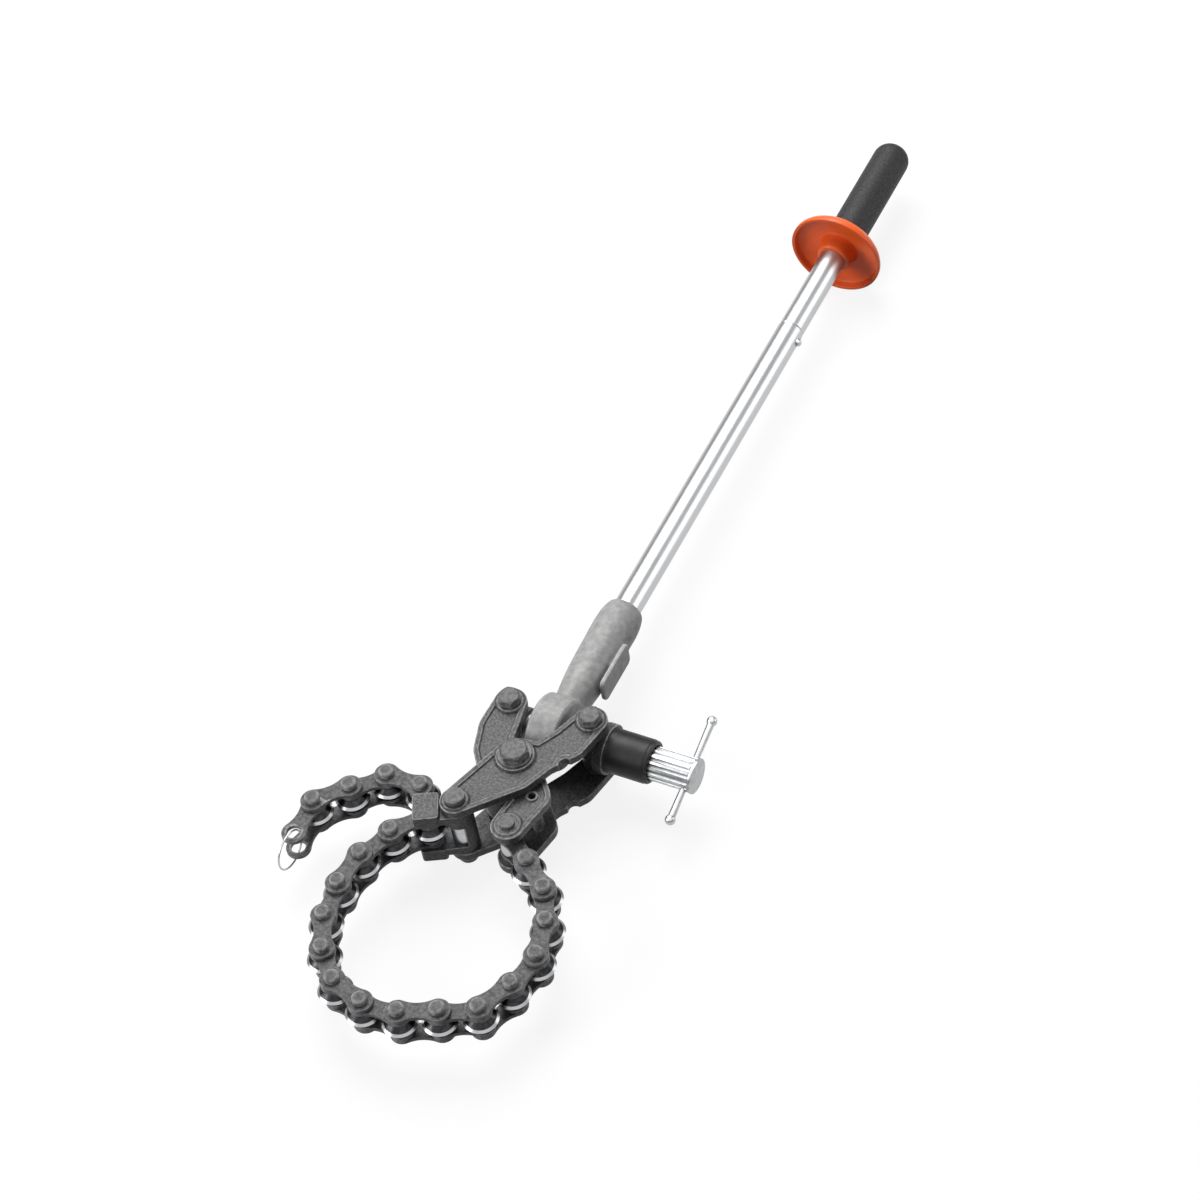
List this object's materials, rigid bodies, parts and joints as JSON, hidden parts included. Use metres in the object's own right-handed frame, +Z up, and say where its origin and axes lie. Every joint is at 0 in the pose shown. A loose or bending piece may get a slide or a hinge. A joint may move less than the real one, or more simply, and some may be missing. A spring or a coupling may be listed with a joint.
{
  "type": "soil pipe cutter",
  "caption": "Ratcheting soil pipe cutter: crossed jaws, feed screw, long handle with guard and grip, and a chain of cutting wheels hooked in a loop.",
  "frame": {"origin": "middle of the pivot nut's foot on the table, the tool lying flat", "axes": "+X along the feed screw to its knob, +Y along the handle to the grip, +Z up along the chain's pins"},
  "size_m": [0.2924, 1.0373, 0.086],
  "materials": {
    "black_steel": "black enamel on steel forgings, satin",
    "chain_black": "black oxide on steel plate, slightly oily",
    "wheel_steel": "ground tool steel",
    "bright_steel": "zinc plated steel",
    "tube_zinc": "zinc plated drawn tube, fine lines along it",
    "grey_casting": "light grey cast head, matt",
    "orange_plastic": "moulded orange plastic, satin",
    "grip_black": "black moulded grip, matt"
  },
  "bodies": {
    "frame": {"jaw_b_upper": "black_steel", "jaw_b_lower": "black_steel", "pivot_bolt": "black_steel", "pivot_nut": "black_steel", "pivot_washers": "black_steel", "pivot_barrel": "bright_steel", "bearing_bolts": "black_steel", "hook_pin": "black_steel", "hook_bush": "bright_steel"},
    "jaw_a": {"jaw_a_upper": "black_steel", "jaw_a_lower": "black_steel", "stop_tube": "black_steel", "nut_bolts": "black_steel", "anchor_pin": "black_steel", "anchor_bush": "bright_steel"},
    "nut": {"nut_block": "black_steel"},
    "bearing": {"bearing_block": "black_steel", "thrust_housing": "black_steel"},
    "screw": {"feed_screw": "bright_steel", "screw_knob": "bright_steel"},
    "bar": {"t_bar": "bright_steel"},
    "handle": {"ratchet_head": "grey_casting", "lower_tube": "tube_zinc", "upper_tube": "tube_zinc", "hand_guard": "orange_plastic", "grip": "grip_black"},
    "button": {"snap_button": "bright_steel"},
    "yoke": {"hook_yoke": "black_steel"},
    "link_00": {"chain_link_00": "chain_black"},
    "link_01": {"chain_link_01": "chain_black", "cutting_wheels_00": "wheel_steel"},
    "link_02": {"chain_link_02": "chain_black"},
    "link_03": {"chain_link_03": "chain_black", "cutting_wheels_01": "wheel_steel"},
    "link_04": {"chain_link_04": "chain_black"},
    "link_05": {"chain_link_05": "chain_black", "cutting_wheels_02": "wheel_steel"},
    "link_06": {"chain_link_06": "chain_black"},
    "link_07": {"chain_link_07": "chain_black", "cutting_wheels_03": "wheel_steel"},
    "link_08": {"chain_link_08": "chain_black"},
    "link_09": {"chain_link_09": "chain_black", "cutting_wheels_04": "wheel_steel"},
    "link_10": {"chain_link_10": "chain_black"},
    "link_11": {"chain_link_11": "chain_black", "cutting_wheels_05": "wheel_steel"},
    "link_12": {"chain_link_12": "chain_black"},
    "link_13": {"chain_link_13": "chain_black", "cutting_wheels_06": "wheel_steel"},
    "link_14": {"chain_link_14": "chain_black"},
    "link_15": {"chain_link_15": "chain_black", "cutting_wheels_07": "wheel_steel"},
    "link_16": {"chain_link_16": "chain_black"},
    "link_17": {"chain_link_17": "chain_black", "cutting_wheels_08": "wheel_steel"},
    "link_18": {"chain_link_18": "chain_black"},
    "link_19": {"chain_link_19": "chain_black", "cutting_wheels_09": "wheel_steel"},
    "link_20": {"chain_link_20": "chain_black"},
    "ring": {"pull_ring": "bright_steel"}
  },
  "joints": [
    {"name": "screw_turn", "type": "hinge", "parent": "bearing", "child": "screw", "pos_m": [0.042, 0.054, 0.043], "axis": [1, 0, 0], "range_deg": [-720, 720]},
    {"name": "jaw_a_swing", "type": "hinge", "parent": "frame", "child": "jaw_a", "pos_m": [0, 0, 0.043], "axis": [0, 0, 1], "range_deg": [-6.47, 6.47]},
    {"name": "bearing_turn", "type": "hinge", "parent": "frame", "child": "bearing", "pos_m": [0.042, 0.054, 0.043], "axis": [0, 0, 1], "range_deg": [-2.9, 2.9]},
    {"name": "nut_turn", "type": "hinge", "parent": "jaw_a", "child": "nut", "pos_m": [-0.033, 0.054, 0.043], "axis": [0, 0, 1], "range_deg": [-3.67, 3.67]},
    {"name": "bar_slide", "type": "slide", "parent": "screw", "child": "bar", "axis": [0, 0.9632, 0.2689], "range_m": [-0.028, 0.021]},
    {"name": "handle_swing", "type": "hinge", "parent": "bearing", "child": "handle", "pos_m": [0.0043, 0.054, 0.043], "axis": [1, 0, 0], "range_deg": [-100, 100]},
    {"name": "button_press", "type": "slide", "parent": "handle", "child": "button", "axis": [-1, 0, 0], "range_m": [0, 0.005], "stiffness_N_per_m": 400, "springref_m": -0.005},
    {"name": "hook_swing", "type": "hinge", "parent": "frame", "child": "yoke", "pos_m": [-0.0255, -0.057, 0.043], "axis": [0, 0, 1], "range_deg": [0, 22]},
    {"name": "chain_pin_00", "type": "hinge", "parent": "jaw_a", "child": "link_00", "pos_m": [0.0214, -0.0588, 0.043], "axis": [0, 0, 1], "range_deg": [-1.31, 1.31]},
    {"name": "chain_pin_01", "type": "hinge", "parent": "link_00", "child": "link_01", "pos_m": [0.04642, -0.07835, 0.043], "axis": [0, 0, 1], "range_deg": [-0.89, 0.89]},
    {"name": "chain_pin_02", "type": "hinge", "parent": "link_01", "child": "link_02", "pos_m": [0.07144, -0.09789, 0.043], "axis": [0, 0, 1], "range_deg": [-0.89, 0.89]},
    {"name": "chain_pin_03", "type": "hinge", "parent": "link_02", "child": "link_03", "pos_m": [0.08707, -0.12553, 0.043], "axis": [0, 0, 1], "range_deg": [-1.14, 1.14]},
    {"name": "chain_pin_04", "type": "hinge", "parent": "link_03", "child": "link_04", "pos_m": [0.09422, -0.15646, 0.043], "axis": [0, 0, 1], "range_deg": [-1.65, 1.65]},
    {"name": "chain_pin_05", "type": "hinge", "parent": "link_04", "child": "link_05", "pos_m": [0.08761, -0.18752, 0.043], "axis": [0, 0, 1], "range_deg": [-1.47, 1.47]},
    {"name": "chain_pin_06", "type": "hinge", "parent": "link_05", "child": "link_06", "pos_m": [0.07395, -0.21618, 0.043], "axis": [0, 0, 1], "range_deg": [-0.89, 0.89]},
    {"name": "chain_pin_07", "type": "hinge", "parent": "link_06", "child": "link_07", "pos_m": [0.04541, -0.2301, 0.043], "axis": [0, 0, 1], "range_deg": [-1.39, 1.39]},
    {"name": "hooked_pin", "type": "hinge", "parent": "frame", "child": "link_15", "pos_m": [-0.04787, -0.06848, 0.043], "axis": [0, 0, 1], "range_deg": [-2.21, 2.21]},
    {"name": "chain_pin_15", "type": "hinge", "parent": "link_15", "child": "link_14", "pos_m": [-0.06973, -0.09151, 0.043], "axis": [0, 0, 1], "range_deg": [-1, 1]},
    {"name": "chain_pin_14", "type": "hinge", "parent": "link_14", "child": "link_13", "pos_m": [-0.08264, -0.12051, 0.043], "axis": [0, 0, 1], "range_deg": [-1.12, 1.12]},
    {"name": "chain_pin_13", "type": "hinge", "parent": "link_13", "child": "link_12", "pos_m": [-0.08569, -0.15212, 0.043], "axis": [0, 0, 1], "range_deg": [-1.44, 1.44]},
    {"name": "chain_pin_12", "type": "hinge", "parent": "link_12", "child": "link_11", "pos_m": [-0.08182, -0.18363, 0.043], "axis": [0, 0, 1], "range_deg": [-1.19, 1.19]},
    {"name": "chain_pin_11", "type": "hinge", "parent": "link_11", "child": "link_10", "pos_m": [-0.06765, -0.21204, 0.043], "axis": [0, 0, 1], "range_deg": [-0.89, 0.89]},
    {"name": "chain_pin_10", "type": "hinge", "parent": "link_10", "child": "link_09", "pos_m": [-0.04559, -0.23488, 0.043], "axis": [0, 0, 1], "range_deg": [-1.07, 1.07]},
    {"name": "chain_pin_09", "type": "hinge", "parent": "link_09", "child": "link_08", "pos_m": [-0.0154, -0.24469, 0.043], "axis": [0, 0, 1], "range_deg": [-1.51, 1.51]},
    {"name": "chain_pin_16", "type": "hinge", "parent": "link_15", "child": "link_16", "pos_m": [-0.04787, -0.06848, 0.043], "axis": [0, 0, 1], "range_deg": [-30, 4]},
    {"name": "chain_pin_17", "type": "hinge", "parent": "link_16", "child": "link_17", "pos_m": [-0.06742, -0.04346, 0.043], "axis": [0, 0, 1], "range_deg": [-30, 4]},
    {"name": "chain_pin_18", "type": "hinge", "parent": "link_17", "child": "link_18", "pos_m": [-0.09917, -0.0429, 0.043], "axis": [0, 0, 1], "range_deg": [-30, 4]},
    {"name": "chain_pin_19", "type": "hinge", "parent": "link_18", "child": "link_19", "pos_m": [-0.12239, -0.06456, 0.043], "axis": [0, 0, 1], "range_deg": [-30, 4]},
    {"name": "chain_pin_20", "type": "hinge", "parent": "link_19", "child": "link_20", "pos_m": [-0.14384, -0.08797, 0.043], "axis": [0, 0, 1], "range_deg": [-30, 4]},
    {"name": "ring_swing", "type": "hinge", "parent": "link_20", "child": "ring", "pos_m": [-0.14494, -0.1197, 0.043], "axis": [0, 0, 1], "range_deg": [-30, 10]}
  ],
  "couplings": [
    {"joint": "jaw_a_swing", "follows": "screw_turn", "ratio": -0.0088419},
    {"joint": "bearing_turn", "follows": "screw_turn", "ratio": -0.0038875},
    {"joint": "nut_turn", "follows": "screw_turn", "ratio": 0.0049544},
    {"joint": "chain_pin_00", "follows": "screw_turn", "ratio": 0.001679},
    {"joint": "chain_pin_01", "follows": "screw_turn", "ratio": 0.001092},
    {"joint": "chain_pin_02", "follows": "screw_turn", "ratio": 0.001092},
    {"joint": "chain_pin_03", "follows": "screw_turn", "ratio": 0.0014413},
    {"joint": "chain_pin_04", "follows": "screw_turn", "ratio": 0.0021585},
    {"joint": "chain_pin_05", "follows": "screw_turn", "ratio": 0.0019091},
    {"joint": "chain_pin_06", "follows": "screw_turn", "ratio": -0.0010919},
    {"joint": "chain_pin_07", "follows": "screw_turn", "ratio": -0.0017936},
    {"joint": "hooked_pin", "follows": "screw_turn", "ratio": -0.0029265},
    {"joint": "chain_pin_15", "follows": "screw_turn", "ratio": -0.0012515},
    {"joint": "chain_pin_14", "follows": "screw_turn", "ratio": -0.0014189},
    {"joint": "chain_pin_13", "follows": "screw_turn", "ratio": -0.0018653},
    {"joint": "chain_pin_12", "follows": "screw_turn", "ratio": -0.0015119},
    {"joint": "chain_pin_11", "follows": "screw_turn", "ratio": 0.001092},
    {"joint": "chain_pin_10", "follows": "screw_turn", "ratio": 0.0013491},
    {"joint": "chain_pin_09", "follows": "screw_turn", "ratio": 0.0019648}
  ]
}
